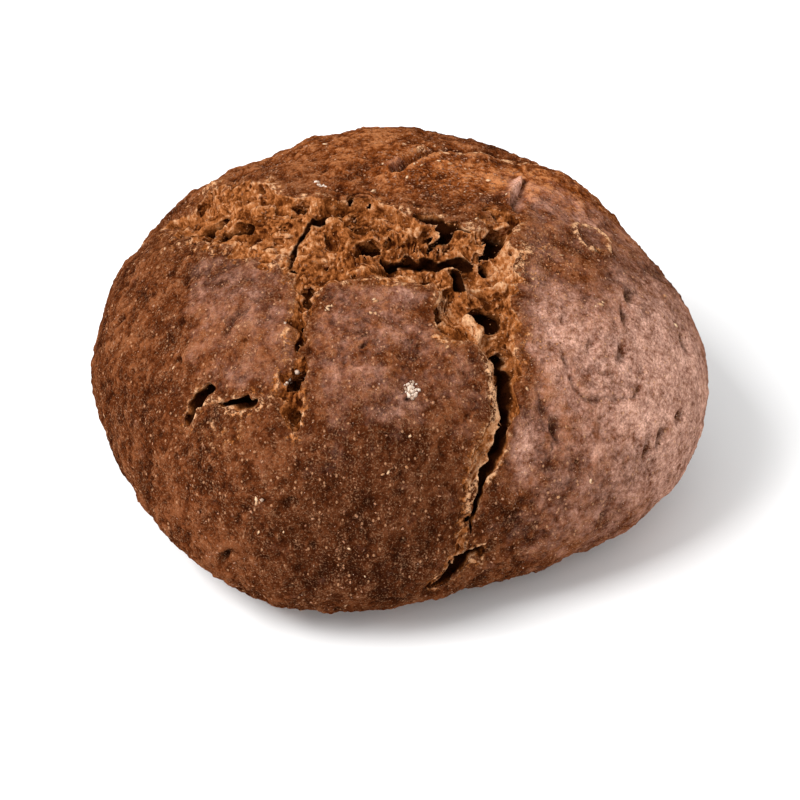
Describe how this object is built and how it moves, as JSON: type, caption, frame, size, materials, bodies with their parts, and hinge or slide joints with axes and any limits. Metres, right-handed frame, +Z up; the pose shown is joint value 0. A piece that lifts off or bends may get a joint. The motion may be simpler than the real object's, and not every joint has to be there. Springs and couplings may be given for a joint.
{
  "type": "carob bread loaf",
  "caption": "Round hearth loaf of dark carob bread, with a domed crust torn open across the crown, a deep split down the front and a flat foot to stand on.",
  "frame": {"origin": "middle of the loaf's box, at the level of the flat foot", "axes": "+Z up through the crown, +X to the right along the longest side, -Y towards the split front"},
  "size_m": [0.1718, 0.1564, 0.0872],
  "materials": {
    "crust": "matte dark brown crust with pale bran specks and torn golden crumb"
  },
  "bodies": {
    "root": {"loaf": "crust"}
  },
  "joints": []
}
